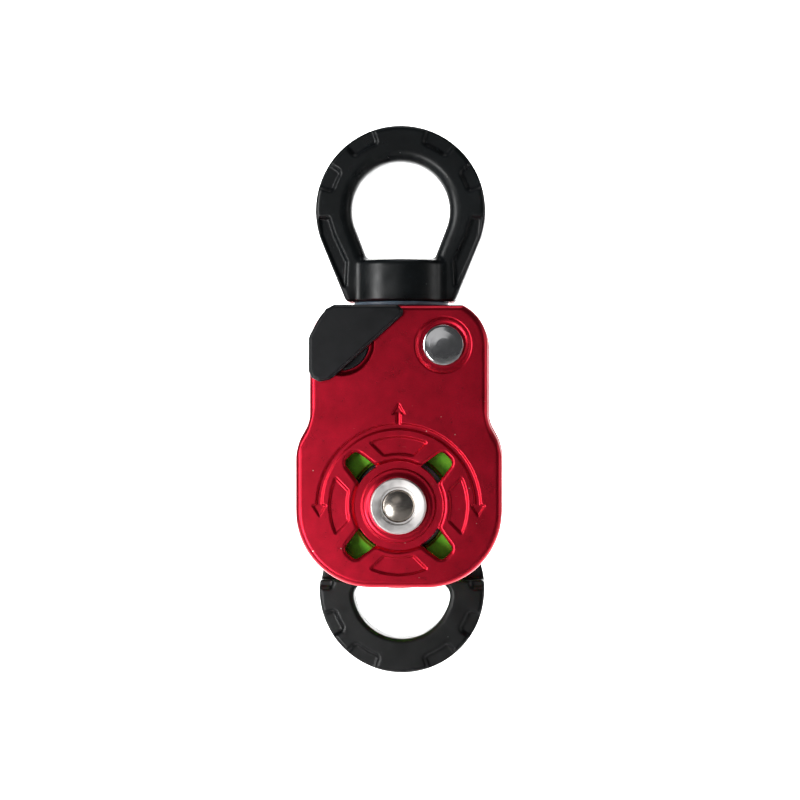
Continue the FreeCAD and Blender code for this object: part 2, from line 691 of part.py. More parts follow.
for a0, a1 in [(197, 214), (229, 251), (289, 311), (326, 343), (2, 20), (160, 178)]:
    for y0 in (BECKET_FRONT - 1, BECKET_BACK - POCKET_DEPTH):
        pocket = sector_y(BECKET, EDGE_POCKET_R, BECKET_R + 1, a0, a1, y0, y0 + 1 + POCKET_DEPTH)
        becket = becket.cut(pocket)
becket = becket.cut(cyl_y(AXLE, AXLE_R, 0, 20))
for centre in RIVETS:
    becket = becket.cut([
        cyl_y(centre, RIVET_R, 0, 20),
        cone_y(centre, 3.4, RIVET_R, ARM_FRONT, ARM_FRONT + 1.4),
    ])
save("becket", becket)

rivets = []
for centre in RIVETS:
    rivets.append(joined([
        cyl_y(centre, RIVET_R, ARM_FRONT + 0.1, PLATE_OUT + 0.2),
        cone_y(centre, 3.3, RIVET_R, ARM_FRONT + 0.1, ARM_FRONT + 1.4),
        turned_y(centre, [
            (0, PLATE_OUT),
            (RIVET_HEAD_R, PLATE_OUT),
            (3.6, PLATE_OUT + 0.7),
            (2.2, PLATE_OUT + 1.2),
            (0, PLATE_OUT + 1.3),
        ]),
    ]))
save("becket_rivets", Part.makeCompound(rivets))
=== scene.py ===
import json
import math

import bpy
import numpy as np
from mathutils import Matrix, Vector


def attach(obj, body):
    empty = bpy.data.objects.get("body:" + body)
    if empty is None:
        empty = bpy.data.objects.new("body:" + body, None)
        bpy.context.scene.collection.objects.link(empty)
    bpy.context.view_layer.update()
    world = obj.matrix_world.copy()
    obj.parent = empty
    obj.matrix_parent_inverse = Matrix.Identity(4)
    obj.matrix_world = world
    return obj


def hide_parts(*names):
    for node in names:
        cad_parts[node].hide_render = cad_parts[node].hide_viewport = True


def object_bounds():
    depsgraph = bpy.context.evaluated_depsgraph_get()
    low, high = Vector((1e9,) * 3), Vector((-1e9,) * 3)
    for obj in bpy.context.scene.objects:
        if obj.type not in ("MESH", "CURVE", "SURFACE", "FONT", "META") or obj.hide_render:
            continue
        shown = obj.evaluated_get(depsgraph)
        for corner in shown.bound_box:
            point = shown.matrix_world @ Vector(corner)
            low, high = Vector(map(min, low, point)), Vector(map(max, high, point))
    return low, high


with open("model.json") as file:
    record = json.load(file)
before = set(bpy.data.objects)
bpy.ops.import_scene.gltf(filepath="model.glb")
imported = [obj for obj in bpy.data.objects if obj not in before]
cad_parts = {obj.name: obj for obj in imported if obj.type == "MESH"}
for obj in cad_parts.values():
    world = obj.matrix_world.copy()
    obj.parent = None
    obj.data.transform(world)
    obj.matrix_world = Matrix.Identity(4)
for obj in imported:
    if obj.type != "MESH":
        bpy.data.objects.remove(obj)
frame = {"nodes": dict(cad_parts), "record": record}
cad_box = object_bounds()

# Everything below is in millimetres in the row frame until a mesh is made: X right, Y to the rear, Z up.
MM = 0.001

# Swivel eye
EYE_R = 25.3
EYE_HOLE_R = 14.55
EYE_HALF = 7.5
LEG_FOOT_X = 16.2
HOLE_FOOT_X = 9.9
COLLAR_R = 14.4
COLLAR_TOP = -14.7
COLLAR_FOOT = -27.15
EYE_POCKETS = [(16, 33), (50, 71)]
LEG_POCKET = [
    (23.6, -2.7),
    (21.6, -2.7),
    (20.1, -7.4),
    (16.4, -15.4),
    (16.7, -22.0),
    (20.3, -14.0),
    (23.2, -7.0),
]
POCKET_DEPTH = 1.2
POCKET_R = 21.0
SWIVEL_BORE_R = 8.5
SWIVEL_BORE_TOP = -18.0
RACE_Z = -22.5
RACE_GROOVE_R = 2.05
PORT_R = 2.2
PORT_FOOT = 8.0
WASHER_R = (8.65, 14.2)
WASHER_Z = (-28.35, -27.25)

# Plates
PLATE_IN = 14.8
PLATE_OUT = 19.0
PLATE_TOP = -28.5
PLATE_FOOT = -111.5
NECK_X = 26.2
WAIST_X = 30.3
TOP_ARC_R = 13.1
FOOT_ARC_R = 22.5
FOOT_ARC_CENTRE = (7.8, -89.0)
NECK_CORNER = (26.2, -62.7)
WAIST_CORNER = (30.3, -70.15)
NECK_ROUND = 1.1
WAIST_ROUND = 1.6
EDGE_ROUND = 2.4
EDGE_STEP = 0.15

# Axle and what turns about it
AXLE = (0.0, -87.4)
AXLE_R = 6.0
AXLE_END_R = 4.8
AXLE_STEP = 20.0
AXLE_TIP = 21.0
RING_R = 8.25
RING_OUT = 21.2
BOSS_R = (9.6, 8.7)
BOSS_OUT = 19.65
HUB_IN = 10.0
HUB_R = 12.0
BUSH_R = 7.6
RIB_R = (21.6, 24.5)
FLANGE_R = 7.2
FLANGE_Y = (8.9, 9.9)
SHEAVE_R = 22.5
SHEAVE_HALF = 9.5
GROOVE_FOOT_R = 16.5
GROOVE_CENTRE_R = 23.21
GROOVE_HALF = 6.3
GROOVE_STEPS = 24
BEARING_R = 14.0

# Marks and openings around the axle
RECESS_R = (10.8, 13.2)
RECESS_DEPTH = 0.9
WINDOW_R = (13.2, 20.4)
WINDOW_HALF = (3.5, 2.4)
PETAL_R = (15.2, 20.2)
PETAL_ANGLE = (16.3, 24.0)
PETAL_DEPTH = 0.6
BAND_R = (22.5, 24.0)
BAND_DEPTH = 0.5
DRAFT = 0.7

# Button, lever, becket and screws
BUTTON = (13.1, -40.3)
BUTTON_R = 6.0
BUTTON_STEM_R = 2.6
BUTTON_NECK_R = 2.2
BUTTON_COVE = (6.3, 1.3, 2.385)
LEVER = (-16.7, -39.7)
LEVER_HUB_R = 8.0
LEVER_COVE = (8.05, 0.75, 1.63)
LEVER_HUB_FRONT = -18.5
LEVER_HUB_BACK = -15.9
LEVER_FRONT = -22.2
LEVER_BACK = -19.15
RETAINER_ROOM_R = 9.2
LEVER_CORNER = 1.5
LATCH_SPRING_R = (2.6, 5.6)
LATCH_SCREW_R = 1.5
LATCH_PIN_R = 0.9
LATCH_PIN_REACH = 6.75
LEVER_OUTLINE = [
    (-18.8, -28.5),
    (-0.3, -28.5),
    (1.6, -30.0),
    (1.2, -31.6),
    (-18.6, -49.4),
    (-20.2, -50.5),
    (-23.1, -51.1),
    (-25.3, -49.9),
    (-26.2, -48.1),
    (-26.2, -38.3),
    (-25.7, -37.0),
    (-23.1, -32.3),
    (-21.1, -29.7),
]
BECKET = (0.0, -113.7)
BECKET_R = 24.9
BECKET_HOLE_R = 14.6
BECKET_HOLE_TOP = -111.0
BECKET_Y = (2.5, 14.6)
BECKET_FOOT = -138.6
BECKET_POCKETS = [(2, 20), (-34, -17), (-71, -49)]
ARM_FRONT = 9.9
ARM_R = 12.5
ARM_TRUNK = [(-12.3, -85.5), (12.3, -85.5), (24.0, -107.0), (-24.0, -107.0)]
ARM_TOP = -74.9
RING_TOP = -110.6
RIVETS = [(-12.0, -103.0), (12.0, -103.0)]
SCREWS = [(-18.5, -34.5), (18.5, -34.5), (-18.5, -46.0), (18.5, -46.0)]
SHANK_R = 2.0

# Head block
BLOCK_FRONT = -14.7
BLOCK_FOOT = -51.4
BLOCK_X = 24.4
BLOCK_CORNER = 1.6
BLOCK_OUTLINE = [
    (-17.0, -28.9),
    (17.0, -28.9),
    (22.0, -32.6),
    (24.4, -38.0),
    (24.4, -47.5),
    (20.5, BLOCK_FOOT),
    (-20.5, BLOCK_FOOT),
    (-24.4, -47.5),
    (-24.4, -38.0),
    (-22.0, -32.6),
]
POST_R = 8.45
POST_END_R = 5.0
POST_STEP = -44.0
NUT_POCKET_R = 8.6
NUT_POCKET_TOP = -45.0
PLUNGER_BORE_R = 3.55
PLUNGER_BORE_END = 8.0
CLIP_ROOM_R = (5.0, 5.3)
SCREW_HOLE_END = 5.5

# Size of the grid's cells that the rounded surfaces are made on
FORGING_CELL = 0.4
PLATE_CELL = 0.27
LEVER_CELL = 0.22


# ---- Fields: negative inside the solid, about the distance in mm outside it ----


def round_and(a, b, r):
    """Inside both fields, with the edge between them rounded to radius r."""
    return np.minimum(np.maximum(a, b), -r) + np.hypot(np.maximum(a + r, 0), np.maximum(b + r, 0))


def round_or(a, b, r):
    """Inside either field, with the corner between them filled to radius r."""
    return np.maximum(np.minimum(a, b), r) - np.hypot(np.maximum(r - a, 0), np.maximum(r - b, 0))


def round_cut(a, b, r):
    """Field a with b taken out of it, and the edge rounded to radius r."""
    return round_and(a, -b, r)


def soft_and(a, b, k):
    """Inside both fields, blended where they differ by less than k."""
    h = np.clip(0.5 - 0.5 * (b - a) / k, 0, 1)
    return b * (1 - h) + a * h + k * h * (1 - h)


def bevelled(a, b, width, k):
    """Inside both fields, with a bevel of that width between them and soft bevel edges."""
    return soft_and(soft_and(a, (a + b + width) * math.sqrt(0.5), k), b, k)


def disc(x, z, centre, radius):
    """Distance from a circle in the XZ plane."""
    return np.hypot(x - centre[0], z - centre[1]) - radius


def band(value, low, high):
    """Distance from the range between low and high."""
    return np.abs(value - (low + high) / 2) - (high - low) / 2


def polygon(x, z, points):
    """Signed distance from a polygon in the XZ plane."""
    nearest = None
    inside = None
    for (x0, z0), (x1, z1) in zip(points, points[1:] + points[:1]):
        ex, ez = x1 - x0, z1 - z0
        px, pz = x - x0, z - z0
        t = np.clip((px * ex + pz * ez) / (ex * ex + ez * ez), 0, 1)
        squared = (px - t * ex) ** 2 + (pz - t * ez) ** 2
        crosses = ((z0 > z) != (z1 > z)) & (x < ex * (z - z0) / (ez if ez else 1e-9) + x0)
        nearest = squared if nearest is None else np.minimum(nearest, squared)
        inside = crosses if inside is None else inside ^ crosses
    return np.where(inside, -1, 1) * np.sqrt(nearest)


def inset(points, distance):
    """Corners of a convex or nearly convex polygon, given clockwise from the front, moved inwards."""
    moved = []
    count = len(points)
    for i in range(count):
        (xa, za), (xb, zb), (xc, zc) = points[i - 1], points[i], points[(i + 1) % count]
        la, lb = math.hypot(xb - xa, zb - za), math.hypot(xc - xb, zc - zb)
        na = ((zb - za) / la, (xa - xb) / la)
        nb = ((zc - zb) / lb, (xb - xc) / lb)
        scale = distance / (1 + na[0] * nb[0] + na[1] * nb[1])
        moved.append((xb + (na[0] + nb[0]) * scale, zb + (na[1] + nb[1]) * scale))
    return moved


def hoop(across, z, radius, foot_x, foot_z):
    """Circle about the origin that runs down in tangent lines to a foot, open below, for across = |x|."""
    angle = math.atan2(foot_z, foot_x) + math.acos(radius / math.hypot(foot_x, foot_z))
    c, s = math.cos(angle), math.sin(angle)
    on_leg = across * s - z * c > 0
    return np.where(on_leg, across * c + z * s - radius, np.hypot(across, z) - radius)


def sector(across, z, radius, a0, a1):
    """Area outside a radius and between two angles in degrees, for across = |x|."""
    angle = np.degrees(np.arctan2(z, across))
    sideways = (np.abs(angle - (a0 + a1) / 2) - (a1 - a0) / 2) * math.radians(1) * np.hypot(across, z)
    return round_and(radius - np.hypot(across, z), sideways, 1.2)


def edge_pockets(field, across, z, half, ranges):
    """The field with shallow forged pockets that open to its rim. half is the distance beyond its faces."""
    for a0, a1 in ranges:
        field = sunk(field, sector(across, z, POCKET_R, a0, a1), half)
    return field


def sunk(field, area, half):
    """The field with one shallow pocket over that area, with sloped walls and soft edges."""
    flare = 0.7 * np.clip(POCKET_DEPTH + half, 0, 2) - 0.3
    pocket = round_and(area - flare, -POCKET_DEPTH - half, 0.45)
    return round_cut(field, pocket, 0.45)


def eye_field(x, y, z):
    """The forged swivel eye: a ring on two legs that run into a round collar."""
    across = np.abs(x)
    radial = np.hypot(x, y)
    outer = hoop(across, z, EYE_R, LEG_FOOT_X, COLLAR_FOOT)
    hole = round_and(hoop(across, z, EYE_HOLE_R, HOLE_FOOT_X, COLLAR_TOP), COLLAR_TOP - z, 1.5)
    beyond = np.abs(y) - EYE_HALF
    body = round_and(outer, beyond, 1.5)
    body = round_cut(body, hole, 3.7)
    collar = round_and(radial - COLLAR_R, z - COLLAR_TOP, 1.8)
    body = round_or(body, collar, 1.5)
    body = round_and(body, COLLAR_FOOT - z, 0.8)
    body = edge_pockets(body, across, z, beyond, EYE_POCKETS)
    body = sunk(body, polygon(across, z, LEG_POCKET) - 0.4, beyond)
    bore = np.maximum(radial - SWIVEL_BORE_R, z - SWIVEL_BORE_TOP)
    race = np.hypot(radial - SWIVEL_BORE_R, z - RACE_Z) - RACE_GROOVE_R
    port = np.maximum(disc(x, z, (0, RACE_Z), PORT_R), PORT_FOOT - y)
    return np.maximum(body, -np.minimum(np.minimum(bore, race), port))


def becket_field(x, y, z):
    """The becket: a thick ring that hangs on a thinner arm behind the sheave."""
    across = np.abs(x)
    below = z - BECKET[1]
    ring_half = np.abs(y - sum(BECKET_Y) / 2) - (BECKET_Y[1] - BECKET_Y[0]) / 2
    outer = np.hypot(x, below) - BECKET_R
    ring = round_and(round_and(outer, ring_half, 1.3), z - RING_TOP, 0.8)
    trunk = np.minimum(disc(x, z, AXLE, ARM_R), polygon(x, z, ARM_TRUNK))
    flat = np.minimum(trunk, outer)
    arm = round_and(flat, band(y, ARM_FRONT, BECKET_Y[1]), 0.6)
    body = np.minimum(ring, arm)
    hole = round_and(disc(x, z, BECKET, BECKET_HOLE_R), z - BECKET_HOLE_TOP, 5.0)
    body = round_cut(body, hole, 1.5)
    body = edge_pockets(body, across, below, ring_half, BECKET_POCKETS)
    body = np.maximum(body, -disc(x, z, AXLE, AXLE_R))
    for centre in RIVETS:
        sink = disc(x, z, centre, SHANK_R + np.clip(ARM_FRONT + 1.4 - y, 0, 1.5))
        body = np.maximum(body, -sink)
    return body


def plate_outline(x, z):
    """Side plate seen from the front."""
    across = np.abs(x)
    run = np.subtract(WAIST_CORNER, NECK_CORNER)
    normal = np.array([-run[1], run[0]]) / np.hypot(*run)
    slant = (across - NECK_CORNER[0]) * normal[0] + (z - NECK_CORNER[1]) * normal[1]
    lower = round_and(across - WAIST_X, slant, WAIST_ROUND)
    side = round_or(across - NECK_X, lower, NECK_ROUND)
    outline = np.maximum(side, PLATE_FOOT - z)
    foot_arc = disc(across, z, FOOT_ARC_CENTRE, FOOT_ARC_R)
    in_foot = (across > FOOT_ARC_CENTRE[0]) & (z < FOOT_ARC_CENTRE[1])
    outline = np.where(in_foot, foot_arc, outline)
    in_top = (across > BUTTON[0]) & (z > BUTTON[1])
    outline = np.where(in_top, disc(across, z, BUTTON, TOP_ARC_R), outline)
    return np.maximum(outline, z - PLATE_TOP)


def turned(x, z, degrees):
    """Coordinates along and across a ray from the axle at that angle."""
    c, s = math.cos(math.radians(degrees)), math.sin(math.radians(degrees))
    u, v = x - AXLE[0], z - AXLE[1]
    return u * c + v * s, v * c - u * s


def window_area(x, z, degrees):
    """One slot on a ray from the axle."""
    along, aside = turned(x, z, degrees)
    slope = (WINDOW_HALF[0] - WINDOW_HALF[1]) / (WINDOW_R[1] - WINDOW_R[0])
    lean = 1 / math.hypot(1, slope)
    flank = (np.abs(aside) - WINDOW_HALF[0] + (along - WINDOW_R[0]) * slope) * lean
    ends = np.maximum(np.hypot(along, aside) - WINDOW_R[1], WINDOW_R[0] - 1.5 - along)
    return round_and(flank, ends, 1.25)


def petal_area(x, z, degrees):
    """One shallow pocket between two windows."""
    along, aside = turned(x, z, degrees)
    (r0, r1), (a0, a1) = PETAL_R, np.radians(PETAL_ANGLE)
    run = np.array([r1 * math.cos(a1) - r0 * math.cos(a0), r1 * math.sin(a1) - r0 * math.sin(a0)])
    run = run / np.hypot(*run)
    flank = (np.abs(aside) - r0 * math.sin(a0)) * run[0] - (along - r0 * math.cos(a0)) * run[1]
    return round_and(flank, band(np.hypot(along, aside), r0, r1), 0.5)


def mark_area(x, z):
    """Half-circle over the sheave with an arrowhead at each end and an arrow on top."""
    u, v = x - AXLE[0], z - AXLE[1]
    radius = np.hypot(u, v)
    middle = sum(BAND_R) / 2
    area = np.maximum(band(radius, *BAND_R), -v)
    head = polygon(np.abs(u), v, [(middle - 1.9, 0.0), (middle - 0.7, 0.5), (middle + 0.7, 0.5),
                                  (middle + 1.9, 0.0), (middle, -3.0)])
    top = BAND_R[1]
    arrow = polygon(u, v, [(-0.55, top - 0.4), (-0.55, top + 3.2), (-1.7, top + 2.9), (0.0, top + 5.9),
                           (1.7, top + 2.9), (0.55, top + 3.2), (0.55, top - 0.4)])
    return np.minimum(area, np.minimum(head, arrow))


def plate_shell(x, y, z, windows):
    """What both side plates share: rounded outline, boss, windows, pockets and mark, facing the front."""
    depth = y + PLATE_OUT
    radius = np.hypot(x - AXLE[0], z - AXLE[1])
    body = round_and(plate_outline(x, z), -depth - EDGE_STEP, EDGE_ROUND)
    body = soft_and(body, -depth, 0.12)
    body = round_and(body, y + PLATE_IN, 0.3)
    opening = radius - RECESS_R[1]
    widened = np.clip(0.75 - depth, 0, 3)
    area = None
    for degrees in windows:
        window = window_area(x, z, degrees)
        area = window if area is None else np.minimum(area, window)
    rim = round_or(area, opening, 1.4) - widened
    pierced = round_and(rim, depth - RECESS_DEPTH, 0.25)
    through = np.maximum(area, -opening) - widened
    body = round_cut(body, np.minimum(pierced, through), 0.3)
    boss = round_and(radius - RECESS_R[0], -depth, 0.2)
    lean = (BOSS_R[0] - BOSS_R[1]) / (BOSS_OUT - PLATE_OUT)
    cone = (radius - BOSS_R[0] - depth * lean) / math.hypot(1, lean)
    cone = np.maximum(round_and(cone, -y - BOSS_OUT, 0.2), depth - 0.2)
    boss = round_or(boss, cone, 0.3)
    boss = np.maximum(boss, y + PLATE_IN)
    body = round_or(body, boss, 0.3)
    for degrees in range(0, 360, 90):
        flare = DRAFT * np.clip(PETAL_DEPTH - depth, 0, 2) - 0.2
        pocket = round_and(petal_area(x, z, degrees) - flare, depth - PETAL_DEPTH, 0.25)
        body = round_cut(body, pocket, 0.25)
    flare = DRAFT * np.clip(BAND_DEPTH - depth, 0, 2) - 0.15
    mark = round_and(mark_area(x, z) - flare, depth - BAND_DEPTH, 0.2)
    return round_cut(body, mark, 0.2)


def cove(distance, depth, shape):
    """Round seat with a hollow flank, from the flank's centre radius, height over the face and radius."""
    centre_r, height, section_r = shape
    return np.maximum(np.hypot(distance - centre_r, depth + height) - section_r, -distance)


def front_plate_field(x, y, z):
    """The front plate with its button seat, lever hole, shroud rib and hub."""
    depth = y + PLATE_OUT
    radius = np.hypot(x - AXLE[0], z - AXLE[1])
    body = plate_shell(x, y, z, [45, 135, 225, 315])
    reach = band(y, -PLATE_IN - 0.6, -HUB_IN)
    rib = round_and(band(radius, *RIB_R), reach, 0.4)
    hub = round_and(radius - HUB_R, reach, 0.4)
    body = round_or(body, np.minimum(rib, hub), 0.4)
    body = np.maximum(body, BUSH_R - radius)
    button = disc(x, z, BUTTON, 0)
    seat = cove(button, depth, BUTTON_COVE)
    seat = np.minimum(seat, np.maximum(button - BUTTON_R - 0.06, y + 16.5))
    seat = np.minimum(seat, button - BUTTON_STEM_R - 0.05)
    seat = np.minimum(seat, np.maximum(button - CLIP_ROOM_R[0], -15.7 - y))
    body = round_cut(body, seat, 0.25)
    lever = disc(x, z, LEVER, 0)
    sink = cove(lever, depth, LEVER_COVE)
    sink = np.minimum(sink, lever - LEVER_HUB_R - 0.05)
    sink = np.minimum(sink, np.maximum(lever - RETAINER_ROOM_R, LEVER_HUB_BACK - y))
    return round_cut(body, sink, 0.25)


def rear_plate_field(x, y, z):
    """The rear plate, which is fixed with four screws and two rivets."""
    body = plate_shell(x, -y, z, [45, 135])
    body = np.maximum(body, AXLE_R - np.hypot(x - AXLE[0], z - AXLE[1]))
    for centre in SCREWS:
        sink = disc(x, z, centre, SHANK_R + np.clip(y - PLATE_OUT + 2.2, 0, 3))
        body = round_cut(body, sink * math.sqrt(0.5), 0.1)
    for centre in RIVETS:
        body = np.maximum(body, -disc(x, z, centre, SHANK_R))
    return body


def block_field(x, y, z):
    """The head block between the plates, with its boss, bores and nut pocket."""
    flat = polygon(x, z, inset(BLOCK_OUTLINE, BLOCK_CORNER)) - BLOCK_CORNER
    body = round_and(flat, band(y, BLOCK_FRONT, PLATE_IN), 0.35)
    radial = np.hypot(x, y)
    collar = round_and(radial + BLOCK_FRONT, band(z, -35, WASHER_Z[0]), 0.2)
    body = round_or(body, collar, 0.2)
    body = np.maximum(body, np.where(z < POST_STEP, POST_END_R, POST_R) - radial)
    body = round_cut(body, np.maximum(radial - NUT_POCKET_R, z - NUT_POCKET_TOP), 0.4)
    button = disc(x, z, BUTTON, 0)
    body = round_cut(body, np.maximum(button - PLUNGER_BORE_R, y - PLUNGER_BORE_END), 0.1)
    body = round_cut(body, np.maximum(button - CLIP_ROOM_R[1], y - BLOCK_FRONT - 2.4), 0.2)
    for centre in SCREWS:
        body = np.maximum(body, -np.maximum(disc(x, z, centre, SHANK_R), SCREW_HOLE_END - y))
    return body


def lever_field(x, y, z):
    """The wedge of the latch lever and the round hub behind it."""
    outline = polygon(x, z, inset(LEVER_OUTLINE, LEVER_CORNER)) - LEVER_CORNER
    wedge = bevelled(outline, LEVER_FRONT - y, 0.8, 0.2)
    wedge = round_and(wedge, y - LEVER_BACK, 0.25)
    hub = disc(x, z, LEVER, LEVER_HUB_R)
    from_axis = hub + LEVER_HUB_R
    dome = LEVER_HUB_FRONT - 0.012 * np.maximum(from_axis, 0) ** 2 + 0.5 - y
    disc_part = round_and(np.maximum(hub, y - LEVER_HUB_BACK), dome, 0.5)
    neck = np.maximum(np.maximum(hub, outline + 0.3), band(y, -19.4, -18.2))
    body = np.minimum(np.minimum(wedge, disc_part), neck)
    ring = np.maximum(band(from_axis, *LATCH_SPRING_R), -18.0 - y)
    centre = np.maximum(from_axis - LATCH_SCREW_R, -18.6 - y)
    pin = np.maximum(disc(x, z, (LEVER[0] + LATCH_PIN_REACH, LEVER[1]), LATCH_PIN_R), -17.5 - y)
    return np.maximum(body, -np.minimum(np.minimum(ring, centre), pin))


# ---- Meshes ----


def net_cells(values):
    """Corner points and quads of the surface where the sampled values change sign, in grid units."""
    inside = values < 0
    n = np.array(values.shape) - 1
    corners = [(i, j, k) for i in (0, 1) for j in (0, 1) for k in (0, 1)]
    count = np.zeros(n, np.int8)
    for i, j, k in corners:
        count += inside[i:n[0] + i, j:n[1] + j, k:n[2] + k]
    active = np.argwhere((count > 0) & (count < 8))
    number = np.full(n, -1, np.int64)
    number[tuple(active.T)] = np.arange(len(active))
    value = [values[tuple((active + c).T)] for c in corners]
    total = np.zeros((len(active), 3))
    hits = np.zeros(len(active))
    for a in range(8):
        for b in range(a + 1, 8):
            step = np.subtract(corners[b], corners[a])
            if np.abs(step).sum() != 1:
                continue
            crossing = (value[a] < 0) != (value[b] < 0)
            t = np.where(crossing, value[a] / np.where(crossing, value[a] - value[b], 1), 0)
            spot = np.array(corners[a]) + t[:, None] * step
            total += np.where(crossing[:, None], spot, 0)
            hits += crossing
    points = active + total / hits[:, None]
    quads = []
    for axis in range(3):
        u, v = (axis + 1) % 3, (axis + 2) % 3
        low = [slice(1, -1)] * 3
        high = [slice(1, -1)] * 3
        low[axis] = slice(0, -1)
        high[axis] = slice(1, None)
        first, second = inside[tuple(low)], inside[tuple(high)]
        edges = np.argwhere(first != second)
        outward = first[tuple(edges.T)]
        base = edges + 1
        base[:, axis] -= 1
        ring = []
        for du, dv in ((-1, -1), (0, -1), (0, 0), (-1, 0)):
            cell = base.copy()
            cell[:, u] += du
            cell[:, v] += dv
            ring.append(number[tuple(cell.T)])
        ring = np.stack(ring, 1)
        quads.append(np.where(outward[:, None], ring, ring[:, ::-1]))
    return points, np.concatenate(quads)


def gradient(field, points, reach):
    """Slope of the field at some points."""
    slope = np.zeros_like(points)
    for axis in range(3):
        step = np.zeros(3)
        step[axis] = reach
        slope[:, axis] = (field(*(points + step).T) - field(*(points - step).T)) / (2 * reach)
    return slope


def field_mesh(name, field, low, high, cell):
    """Mesh of the surface where the field is zero, with normals from the field."""
    axes = [np.arange(a - 2.3 * cell, b + 3 * cell, cell) for a, b in zip(low, high)]
    grids = [a.reshape([-1 if i == k else 1 for k in range(3)]) for i, a in enumerate(axes)]
    values = np.broadcast_to(field(*grids), [len(a) for a in axes])
    points, quads = net_cells(values)
    points = points * cell + [a[0] for a in axes]
    for _ in range(4):
        slope = gradient(field, points, 0.02 * cell)
        length = np.maximum((slope ** 2).sum(1), 0.05)
        step = slope * (field(*points.T) / length)[:, None]
        size = np.linalg.norm(step, axis=1)
        points -= step * np.minimum(1, 0.4 * cell / np.maximum(size, 1e-9))[:, None]
    normals = gradient(field, points, 0.1 * cell)
    normals /= np.maximum(np.linalg.norm(normals, axis=1), 1e-9)[:, None]
    mesh = bpy.data.meshes.new(name)
    mesh.vertices.add(len(points))
    mesh.vertices.foreach_set("co", (points * MM).ravel())
    mesh.loops.add(quads.size)
    mesh.loops.foreach_set("vertex_index", quads.ravel())
    mesh.polygons.add(len(quads))
    mesh.polygons.foreach_set("loop_start", np.arange(0, quads.size, 4))
    mesh.update(calc_edges=True)
    mesh.validate()
    mesh.shade_smooth()
    mesh.normals_split_custom_set_from_vertices(normals.tolist())
    return place(name, mesh)


def place(name, mesh):
    """Object with that mesh, in the scene."""
    obj = bpy.data.objects.new(name, mesh)
    bpy.context.scene.collection.objects.link(obj)
    return obj


def rounded(profile, radius, steps=5, closed=True):
    """The profile's corners replaced by arcs of about that radius."""
    out = []
    count = len(profile)
    for i, (r, a) in enumerate(profile):
        ends = not closed and i in (0, count - 1)
        here = np.array([r, a])
        before = np.array(profile[i - 1]) - here
        after = np.array(profile[(i + 1) % count]) - here
        if ends or r == 0:
            out.append((r, a))
            continue
        reach = min(radius, 0.45 * np.hypot(*before), 0.45 * np.hypot(*after))
        start = here + before / np.hypot(*before) * reach
        stop = here + after / np.hypot(*after) * reach
        for k in range(steps + 1):
            t = k / steps
            point = start * (1 - t) ** 2 + 2 * here * t * (1 - t) + stop * t ** 2
            out.append((float(point[0]), float(point[1])))
    return out


def lathe(name, profile, centre, closed=True, axis="y", steps=160):
    """Solid turned about an axis along Y or Z through centre, from (radius, place on the axis) points."""
    verts = []
    faces = []
    rows = []
    for r, a in profile:
        if r == 0:
            rows.append([len(verts)] * steps)
            verts.append((0, 0, a))
            continue
        rows.append([len(verts) + k for k in range(steps)])
        for k in range(steps):
            angle = 2 * math.pi * k / steps
            verts.append((r * math.cos(angle), r * math.sin(angle), a))
    pairs = list(zip(rows, rows[1:] + rows[:1])) if closed else list(zip(rows, rows[1:]))
    for first, second in pairs:
        for k in range(steps):
            following = (k + 1) % steps
            face = [first[k], first[following], second[following], second[k]]
            faces.append(list(dict.fromkeys(face)))
    if axis == "y":
        verts = [(x + centre[0], a, centre[1] - z) for x, z, a in verts]
    mesh = bpy.data.meshes.new(name)
    mesh.from_pydata([tuple(c * MM for c in v) for v in verts], [], faces)
    mesh.validate()
    obj = place(name, mesh)
    turn_outwards(mesh)
    mesh.shade_smooth()
    mesh.set_sharp_from_angle(angle=math.radians(38))
    return obj


def turn_outwards(mesh):
    """Points the faces of a closed mesh outwards."""
    mesh.calc_loop_triangles()
    points = np.array([v.co for v in mesh.vertices])
    triangles = np.array([t.vertices for t in mesh.loop_triangles])
    a, b, c = points[triangles[:, 0]], points[triangles[:, 1]], points[triangles[:, 2]]
    if (a * np.cross(b, c)).sum() < 0:
        mesh.flip_normals()


# ---- Materials ----


